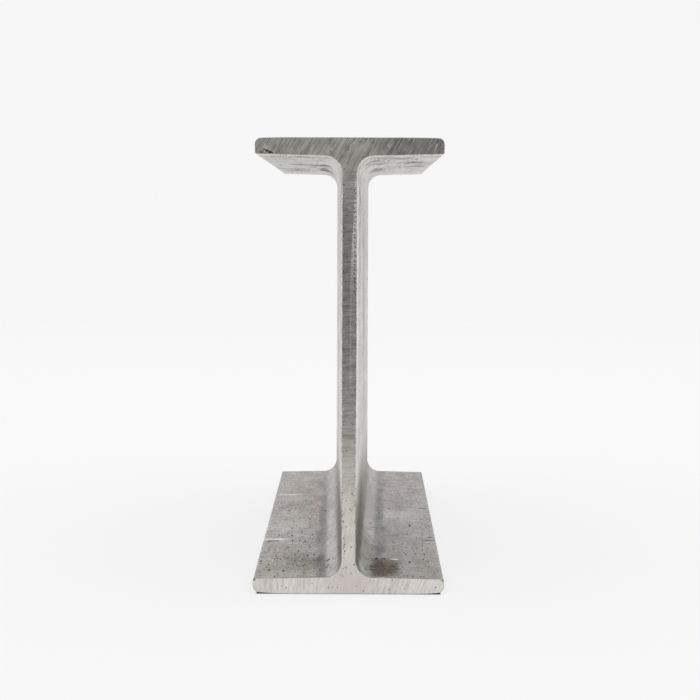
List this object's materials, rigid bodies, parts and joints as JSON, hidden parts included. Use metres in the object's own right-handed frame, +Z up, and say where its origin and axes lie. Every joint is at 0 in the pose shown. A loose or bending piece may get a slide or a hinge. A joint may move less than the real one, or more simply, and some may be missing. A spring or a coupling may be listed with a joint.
{
  "type": "steel h-beam",
  "caption": "Short sawn length of steel H-beam standing on one flange, with two flanges joined by a web and an open channel along each side.",
  "frame": {"origin": "on the floor under the middle of the beam's length and width", "axes": "+Z up the web, +Y along the beam away from the sawn front end, +X across the flanges"},
  "size_m": [0.101, 0.3, 0.24],
  "materials": {
    "steel": "bare mill-finish steel, sawn and dressed on the end face, pitted and smeared on the inner faces, brown stain on the lower flange"
  },
  "bodies": {
    "root": {"steel_beam": "steel"}
  },
  "joints": []
}
